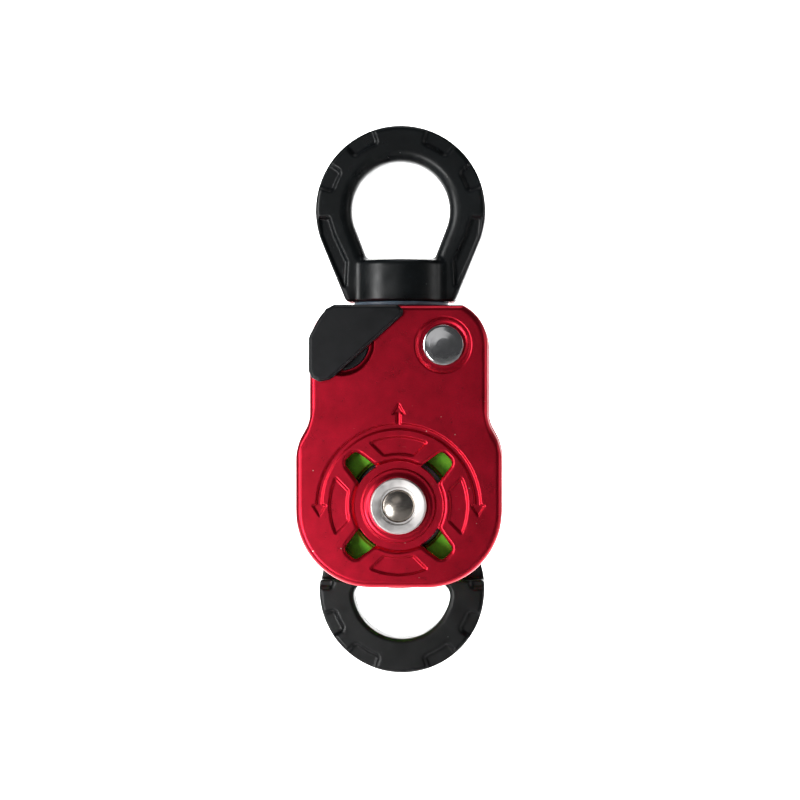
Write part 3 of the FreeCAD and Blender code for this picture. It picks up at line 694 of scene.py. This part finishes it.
class Nodes:
    """Small helper for building one node material."""

    def __init__(self, name):
        self.material = bpy.data.materials.new(name)
        self.material.use_nodes = True
        self.tree = self.material.node_tree
        self.shader = self.tree.nodes["Principled BSDF"]
        self.coords = self.tree.nodes.new("ShaderNodeTexCoord").outputs["Object"]

    def link(self, a, b):
        self.tree.links.new(a, b)

    def noise(self, scale, detail=3.0, roughness=0.55, stretch=(1, 1, 1)):
        """Noise value with features of about 1 / scale metres."""
        mapping = self.tree.nodes.new("ShaderNodeMapping")
        mapping.inputs["Scale"].default_value = stretch
        self.link(self.coords, mapping.inputs["Vector"])
        node = self.tree.nodes.new("ShaderNodeTexNoise")
        node.inputs["Scale"].default_value = scale
        node.inputs["Detail"].default_value = detail
        node.inputs["Roughness"].default_value = roughness
        self.link(mapping.outputs["Vector"], node.inputs["Vector"])
        return node.outputs["Fac"]

    def ramp(self, value, low, high, out_low=0.0, out_high=1.0):
        """The value's range from low to high spread over the output range, clamped."""
        node = self.tree.nodes.new("ShaderNodeMapRange")
        node.inputs["From Min"].default_value = low
        node.inputs["From Max"].default_value = high
        node.inputs["To Min"].default_value = out_low
        node.inputs["To Max"].default_value = out_high
        self.link(value, node.inputs["Value"])
        return node.outputs["Result"]

    def math(self, kind, a, b=None):
        node = self.tree.nodes.new("ShaderNodeMath")
        node.operation = kind
        for socket, value in zip(node.inputs, (a, b)):
            if value is None:
                continue
            if isinstance(value, (int, float)):
                socket.default_value = value
            else:
                self.link(value, socket)
        return node.outputs["Value"]

    def mix(self, factor, a, b):
        """Colour between a and b, each a colour or a socket."""
        node = self.tree.nodes.new("ShaderNodeMix")
        node.data_type = "RGBA"
        self.link(factor, node.inputs["Factor"])
        for name, value in (("A", a), ("B", b)):
            socket = next(s for s in node.inputs if s.name == name and s.type == "RGBA")
            if isinstance(value, (tuple, list)):
                socket.default_value = (*value, 1)
            else:
                self.link(value, socket)
        return next(s for s in node.outputs if s.type == "RGBA")

    def bump(self, height, strength, distance):
        """Surface normal from a height, added to any bump already made."""
        node = self.tree.nodes.new("ShaderNodeBump")
        node.inputs["Strength"].default_value = strength
        node.inputs["Distance"].default_value = distance
        self.link(height, node.inputs["Height"])
        if self.shader.inputs["Normal"].links:
            self.link(self.shader.inputs["Normal"].links[0].from_socket, node.inputs["Normal"])
        self.link(node.outputs["Normal"], self.shader.inputs["Normal"])

    def rings(self, centre, pitch):
        """Value that swings between 0 and 1 with the distance from a Y axis, as turning marks do."""
        split = self.tree.nodes.new("ShaderNodeSeparateXYZ")
        self.link(self.coords, split.inputs["Vector"])
        dx = self.math("SUBTRACT", split.outputs["X"], centre[0] * MM)
        dz = self.math("SUBTRACT", split.outputs["Z"], centre[1] * MM)
        squares = self.math("ADD", self.math("MULTIPLY", dx, dx), self.math("MULTIPLY", dz, dz))
        radius = self.math("SQRT", squares)
        wobble = self.math("MULTIPLY", self.noise(60, 2), 0.3 * pitch * MM)
        phase = self.math("MULTIPLY", self.math("ADD", radius, wobble), 2 * math.pi / (pitch * MM))
        return self.math("MULTIPLY_ADD", self.math("SINE", phase), 0.5)

    def set(self, **values):
        for name, value in values.items():
            self.shader.inputs[name.replace("_", " ")].default_value = value


def flecks(nodes, scale, keep):
    """Mask of scattered specks: 1 on a speck, 0 elsewhere."""
    node = nodes.tree.nodes.new("ShaderNodeTexVoronoi")
    node.inputs["Scale"].default_value = scale
    nodes.link(nodes.coords, node.inputs["Vector"])
    near = nodes.ramp(node.outputs["Distance"], 0.06, 0.12, 1.0, 0.0)
    split = nodes.tree.nodes.new("ShaderNodeSeparateColor")
    nodes.link(node.outputs["Color"], split.inputs["Color"])
    chosen = nodes.math("GREATER_THAN", split.outputs["Red"], 1 - keep)
    return nodes.math("MULTIPLY", near, chosen)


def anodised(name, colour, dark, roughness=0.33, metallic=0.95, wear=(1.0, 0.55, 0.5)):
    """Bead-blasted anodised aluminium: fine grain, soft cloudiness, specks and faint scratches."""
    n = Nodes(name)
    cloud = n.ramp(n.noise(90, 4), 0.35, 0.65)
    base = n.mix(cloud, dark, colour)
    grain = n.noise(2600, 2, 0.6)
    base = n.mix(n.ramp(grain, 0.35, 0.65, 0.0, 0.25), base, tuple(0.6 * c for c in colour))
    specks = flecks(n, 480, 0.10)
    scratches = n.ramp(n.noise(260, 2, 0.5, (1, 1, 14)), 0.74, 0.78)
    marks = n.math("MAXIMUM", specks, n.math("MULTIPLY", scratches, 0.35))
    n.link(n.mix(n.math("MULTIPLY", marks, 0.8), base, wear), n.shader.inputs["Base Color"])
    patches = n.math("ADD", n.math("MULTIPLY", grain, 0.6), n.math("MULTIPLY", n.noise(300, 3), 0.4))
    rough = n.ramp(patches, 0.3, 0.7, roughness - 0.07, roughness + 0.08)
    n.link(rough, n.shader.inputs["Roughness"])
    n.bump(grain, 0.1, 0.00007)
    n.set(Metallic=metallic, Coat_Weight=0.35, Coat_Roughness=0.3)
    return n.material


def coated_black(name, colour, roughness, grain_scale=2600, grain=0.12):
    """Black coating on steel or alloy: uneven gloss, fine texture, dust specks and rub marks."""
    n = Nodes(name)
    cloud = n.ramp(n.noise(70, 4), 0.35, 0.65)
    lighter = tuple(c * 1.5 + 0.002 for c in colour)
    base = n.mix(cloud, colour, lighter)
    specks = flecks(n, 500, 0.03)
    rubs = n.ramp(n.noise(320, 3, 0.6, (10, 1, 1)), 0.73, 0.8)
    marks = n.math("MAXIMUM", specks, n.math("MULTIPLY", rubs, 0.5))
    shade = n.mix(n.math("MULTIPLY", marks, 0.35), base, (0.25, 0.25, 0.26))
    n.link(shade, n.shader.inputs["Base Color"])
    rough = n.ramp(n.noise(220, 4), 0.3, 0.7, roughness - 0.06, roughness + 0.08)
    n.link(rough, n.shader.inputs["Roughness"])
    n.bump(n.noise(grain_scale, 2, 0.6), grain, 0.00005)
    n.bump(n.noise(380, 3), 0.12, 0.00012)
    n.set(Specular_IOR_Level=0.42)
    return n.material


def bare_metal(name, colour, roughness, centre=None, pitch=0.22, ring=0.1, grain=0.05, tint=None):
    """Bare metal: turning marks about a centre or fine grain, cloudy gloss and small scratches."""
    n = Nodes(name)
    darker = tint or tuple(c * 0.82 for c in colour)
    shade = n.mix(n.ramp(n.noise(150, 4), 0.35, 0.65), darker, colour)
    n.link(shade, n.shader.inputs["Base Color"])
    rough = n.ramp(n.noise(400, 4, 0.6), 0.3, 0.7, roughness * 0.75, roughness * 1.35)
    n.link(rough, n.shader.inputs["Roughness"])
    if centre is not None:
        n.bump(n.rings(centre, pitch), ring, 0.00004)
    n.bump(n.noise(1500, 3, 0.6, (1, 1, 6)), grain, 0.00004)
    scratches = n.ramp(n.noise(300, 2, 0.5, (12, 1, 2)), 0.72, 0.78)
    n.bump(scratches, 0.1, -0.00003)
    n.set(Metallic=1.0)
    return n.material


def plastic(name, colour, roughness):
    """Moulded or turned plastic: faint cloudiness and a fine matt grain."""
    n = Nodes(name)
    darker = tuple(c * 0.75 for c in colour)
    shade = n.mix(n.ramp(n.noise(200, 3), 0.35, 0.65), darker, colour)
    n.link(shade, n.shader.inputs["Base Color"])
    rough = n.ramp(n.noise(500, 3), 0.3, 0.7, roughness - 0.05, roughness + 0.08)
    n.link(rough, n.shader.inputs["Roughness"])
    n.bump(n.noise(2400, 3), 0.15, 0.00004)
    return n.material


RED = (0.76, 0.006, 0.036)
RED_DARK = (0.64, 0.003, 0.026)
GREEN = (0.29, 0.96, 0.06)
GREEN_DARK = (0.24, 0.84, 0.04)
GREEN_WEAR = (0.7, 0.9, 0.3)
SILVER = (0.95, 0.92, 0.90)
SILVER_DARK = (0.88, 0.85, 0.83)
AXLE_GREY = (0.70, 0.64, 0.58)
AXLE_BROWN = (0.45, 0.38, 0.32)
POLISHED = (0.93, 0.93, 0.94)
materials = {
    "black_steel": coated_black("black_steel", (0.0042, 0.0058, 0.0068), 0.33),
    "black_becket": coated_black("black_becket", (0.002, 0.0025, 0.003), 0.38),
    "black_plug": coated_black("black_plug", (0.012, 0.012, 0.012), 0.4),
    "black_lever": coated_black("black_lever", (0.0055, 0.006, 0.0075), 0.40, 3400, 0.25),
    "red_front_plate": anodised("red_front_plate", RED, RED_DARK),
    "red_rear_plate": anodised("red_rear_plate", RED, RED_DARK),
    "red_block": anodised("red_block", RED, RED_DARK, roughness=0.46),
    "green_sheave": anodised("green_sheave", GREEN, GREEN_DARK, 0.36, 0.85, GREEN_WEAR),
    "silver_ring": bare_metal("silver_ring", SILVER, 0.4, AXLE, 0.24, 0.05, tint=SILVER_DARK),
    "axle_steel": bare_metal("axle_steel", AXLE_GREY, 0.2, AXLE, 0.35, 0.05, tint=AXLE_BROWN),
    "polished_button": bare_metal("polished_button", POLISHED, 0.11, BUTTON, 0.3, 0.03, grain=0.03),
    "grey_washer": plastic("grey_washer", (0.20, 0.30, 0.40), 0.38),
    "bush_plastic": plastic("bush_plastic", (0.03, 0.03, 0.03), 0.45),
    "seal_rubber": plastic("seal_rubber", (0.012, 0.012, 0.012), 0.6),
    "steel": bare_metal("steel", (0.55, 0.56, 0.57), 0.3),
    "ball_steel": bare_metal("ball_steel", (0.75, 0.76, 0.77), 0.12, grain=0.02),
    "zinc_steel": bare_metal("zinc_steel", (0.6, 0.61, 0.6), 0.34, tint=(0.5, 0.5, 0.42)),
    "screw_steel": bare_metal("screw_steel", (0.42, 0.43, 0.44), 0.3),
    "spacer_alloy": bare_metal("spacer_alloy", (0.75, 0.75, 0.76), 0.3, AXLE, 0.3, 0.1),
    "bearing_steel": bare_metal("bearing_steel", (0.66, 0.67, 0.68), 0.2, AXLE, 0.2, 0.06),
    "rivet_steel": bare_metal("rivet_steel", (0.6, 0.6, 0.61), 0.28),
    "spring_steel": bare_metal("spring_steel", (0.5, 0.5, 0.5), 0.25),
}

# Every node of the frame carries its slot's material, whether it shows or not.
for part in frame["record"]["subparts"]:
    data = frame["nodes"][part["node"]].data
    data.materials.clear()
    data.materials.append(materials[part["material_slot"]])


def finish_piece(obj, slot, body, *nodes):
    """Gives a piece its material and body, and lets it stand for the CAD nodes it shows."""
    obj.data.materials.append(materials[slot])
    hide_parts(*nodes)
    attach(obj, body)
    return obj


# ---- Pieces ----


low = (-EYE_R, -COLLAR_R, COLLAR_FOOT)
high = (EYE_R, COLLAR_R, EYE_R)
eye = field_mesh("swivel_eye_forging", eye_field, low, high, FORGING_CELL)
finish_piece(eye, "black_steel", "swivel_eye_body", "swivel_eye")

low = (-BECKET_R, BECKET_Y[0], BECKET_FOOT)
high = (BECKET_R, BECKET_Y[1], ARM_TOP)
becket = field_mesh("becket_forging", becket_field, low, high, FORGING_CELL)
finish_piece(becket, "black_becket", "frame_body", "becket")

low = (-WAIST_X, -BOSS_OUT, PLATE_FOOT)
high = (WAIST_X, -HUB_IN, PLATE_TOP)
front = field_mesh("front_side_plate", front_plate_field, low, high, PLATE_CELL)
finish_piece(front, "red_front_plate", "front_plate_body", "front_plate")

low = (-WAIST_X, PLATE_IN, PLATE_FOOT)
high = (WAIST_X, BOSS_OUT, PLATE_TOP)
rear = field_mesh("rear_side_plate", rear_plate_field, low, high, PLATE_CELL)
finish_piece(rear, "red_rear_plate", "frame_body", "rear_plate")

low = (-BLOCK_X, BLOCK_FRONT, BLOCK_FOOT)
high = (BLOCK_X, PLATE_IN, WASHER_Z[0])
block = field_mesh("head_block_body", block_field, low, high, FORGING_CELL)
finish_piece(block, "red_block", "frame_body", "head_block")

lever_x = [x for x, z in LEVER_OUTLINE]
lever_z = [z for x, z in LEVER_OUTLINE]
low = (min(lever_x), LEVER_FRONT, min(lever_z))
high = (max(lever_x), LEVER_HUB_BACK, max(lever_z))
lever = field_mesh("latch_lever_wedge", lever_field, low, high, LEVER_CELL)
finish_piece(lever, "black_lever", "latch_lever_body", "latch_lever")

washer_profile = rounded([
    (WASHER_R[0], WASHER_Z[0]),
    (WASHER_R[1], WASHER_Z[0]),
    (WASHER_R[1], WASHER_Z[1]),
    (WASHER_R[0], WASHER_Z[1]),
], 0.3)
washer = lathe("dust_washer_ring", washer_profile, (0, 0), axis="z")
finish_piece(washer, "grey_washer", "frame_body", "dust_washer")

ring_profile = rounded([
    (5.35, -RING_OUT + 0.5),
    (5.65, -RING_OUT + 0.22),
    (RING_R - 0.4, -RING_OUT),
    (RING_R, -RING_OUT + 0.4),
    (RING_R, -AXLE_STEP),
    (AXLE_END_R, -AXLE_STEP),
    (AXLE_END_R, -AXLE_STEP - 0.3),
    (5.35, -AXLE_STEP - 0.3),
], 0.12)
ring = lathe("axle_ring_front", ring_profile, AXLE)
finish_piece(ring, "silver_ring", "frame_body", "front_axle_ring")
ring = lathe("axle_ring_rear", [(r, -y) for r, y in ring_profile], AXLE)
finish_piece(ring, "silver_ring", "frame_body", "rear_axle_ring")

dome = [(0, -AXLE_TIP)]
for angle in np.radians(range(5, 46, 5)):
    dome.append((AXLE_END_R * math.sin(angle) * 1.3, -AXLE_TIP + 2.6 * (1 - math.cos(angle))))
half_axle = dome + [
    (AXLE_END_R, dome[-1][1] + 0.4),
    (AXLE_END_R, -AXLE_STEP),
    (AXLE_R, -AXLE_STEP),
]
flange = [
    (AXLE_R, -FLANGE_Y[1]),
    (FLANGE_R, -FLANGE_Y[1]),
    (FLANGE_R, -FLANGE_Y[0]),
    (AXLE_R, -FLANGE_Y[0]),
]
axle_profile = half_axle + flange + [(r, -y) for r, y in half_axle[::-1]]
axle = lathe("axle_pin", rounded(axle_profile, 0.12, closed=False), AXLE, closed=False)
finish_piece(axle, "axle_steel", "frame_body", "axle")

rim = [
    (20.9, GROOVE_HALF),
    (SHEAVE_R, 8.3),
    (SHEAVE_R, 8.9),
    (21.9, SHEAVE_HALF),
    (15.1, SHEAVE_HALF),
    (14.6, SHEAVE_HALF - 0.35),
    (14.35, SHEAVE_HALF - 0.35),
    (BEARING_R, SHEAVE_HALF - 0.8),
]
groove_r = GROOVE_CENTRE_R - GROOVE_FOOT_R
sweep = math.asin(GROOVE_HALF / groove_r)
groove = []
for k in range(1, GROOVE_STEPS):
    angle = -sweep + 2 * sweep * k / GROOVE_STEPS
    groove.append((GROOVE_CENTRE_R - groove_r * math.cos(angle), groove_r * math.sin(angle)))
rear_rim = rounded(rim, 0.3, closed=False)
front_rim = rounded([(r, -y) for r, y in rim[::-1]], 0.3, closed=False)
sheave_profile = rear_rim + front_rim + groove
sheave = lathe("rope_sheave", sheave_profile, AXLE, steps=192)
finish_piece(sheave, "green_sheave", "sheave_body", "sheave")

button_profile = rounded([
    (0, -20.0),
    (2.0, -19.97),
    (4.0, -19.87),
    (5.35, -19.72),
    (5.85, -19.5),
    (BUTTON_R, -19.1),
    (BUTTON_R, -18.2),
    (BUTTON_STEM_R, -18.2),
    (BUTTON_STEM_R, -15.4),
    (BUTTON_NECK_R, -15.35),
    (BUTTON_NECK_R, -15.0),
    (BUTTON_STEM_R, -15.0),
    (BUTTON_STEM_R, -14.85),
    (0, -14.85),
], 0.15, closed=False)
button = lathe("lock_button_head", button_profile, BUTTON, closed=False)
finish_piece(button, "polished_button", "lock_button_body", "lock_button")


# ---- Floor, backdrop, light and camera ----


CENTRE_Z = -56.4
CAMERA_DISTANCE = 780.0
CAMERA_AZIMUTH = 2.5
FLOOR_Z = cad_box[0][2] / MM - 250.0


def studio():
    """Pale floor that curves up into a backdrop."""
    half = 2600.0
    bend = 500.0
    back = 1500.0
    steps = 16
    line = [(-half, 0.0), (back - bend, 0.0)]
    for k in range(1, steps + 1):
        angle = math.pi / 2 * k / steps
        line.append((back - bend + bend * math.sin(angle), bend - bend * math.cos(angle)))
    line.append((back, half))
    verts = []
    for y, z in line:
        verts.append((-half * MM, y * MM, (FLOOR_Z + z) * MM))
        verts.append((half * MM, y * MM, (FLOOR_Z + z) * MM))
    faces = [(2 * i, 2 * i + 1, 2 * i + 3, 2 * i + 2) for i in range(len(line) - 1)]
    mesh = bpy.data.meshes.new("studio_sweep")
    mesh.from_pydata(verts, [], faces)
    mesh.shade_smooth()
    obj = place("studio_sweep", mesh)
    n = Nodes("pale_sweep")
    shade = n.mix(n.ramp(n.noise(3, 2), 0.3, 0.7), (0.80, 0.80, 0.80), (0.84, 0.84, 0.84))
    n.link(shade, n.shader.inputs["Base Color"])
    n.set(Roughness=0.85)
    mesh.materials.append(n.material)


def softbox(name, where, aim, size, power, spread, roll=0):
    """Rectangular soft light aimed at a point, with its beam's angle and its roll in degrees."""
    light = bpy.data.lights.new(name, "AREA")
    light.shape = "RECTANGLE"
    light.size, light.size_y = size[0] * MM, size[1] * MM
    light.energy = power
    light.spread = math.radians(spread)
    obj = bpy.data.objects.new(name, light)
    obj.location = [c * MM for c in where]
    direction = Vector([(a - w) * MM for a, w in zip(aim, where)])
    obj.rotation_euler = direction.to_track_quat("-Z", "Y").to_euler()
    obj.rotation_euler.rotate_axis("Z", math.radians(roll))
    bpy.context.scene.collection.objects.link(obj)


def camera():
    """Camera level with the pulley's middle, a little to the right of square on."""
    angle = math.radians(CAMERA_AZIMUTH)
    data = bpy.data.cameras.new("camera")
    data.lens = 117.0
    data.sensor_width = 36.0
    data.clip_start = 0.01
    data.clip_end = 20
    data.shift_x = -0.0016
    obj = bpy.data.objects.new("camera", data)
    obj.location = (
        CAMERA_DISTANCE * math.sin(angle) * MM,
        -CAMERA_DISTANCE * math.cos(angle) * MM,
        CENTRE_Z * MM,
    )
    obj.rotation_euler = (math.pi / 2, 0, angle)
    bpy.context.scene.collection.objects.link(obj)
    bpy.context.scene.camera = obj


studio()
middle = (0, 0, CENTRE_Z)
softbox("key_box", (-190, -390, -190), (0, 0, -80), (80, 140), 0.062, 50)
softbox("left_box", (-600, -370, 30), middle, (260, 700), 0.36, 50)
softbox("right_box", (700, -20, 20), middle, (300, 700), 0.08, 50)
softbox("top_box", (0, 60, 700), middle, (400, 300), 0.06, 50)
softbox("card_box", (-85, -700, 70), (13, -20, -40), (230, 160), 0.05, 180, roll=28)
softbox("back_box", (0, 300, 500), (0, 1500, -100), (1100, 500), 75, 180)
world = bpy.data.worlds.new("studio_world")
bpy.context.scene.world = world
world.use_nodes = True
sky = world.node_tree.nodes["Background"]
sky.inputs["Color"].default_value = (0.95, 0.97, 1.0, 1)
sky.inputs["Strength"].default_value = 0.058
bpy.context.scene.view_settings.view_transform = "Standard"
camera()
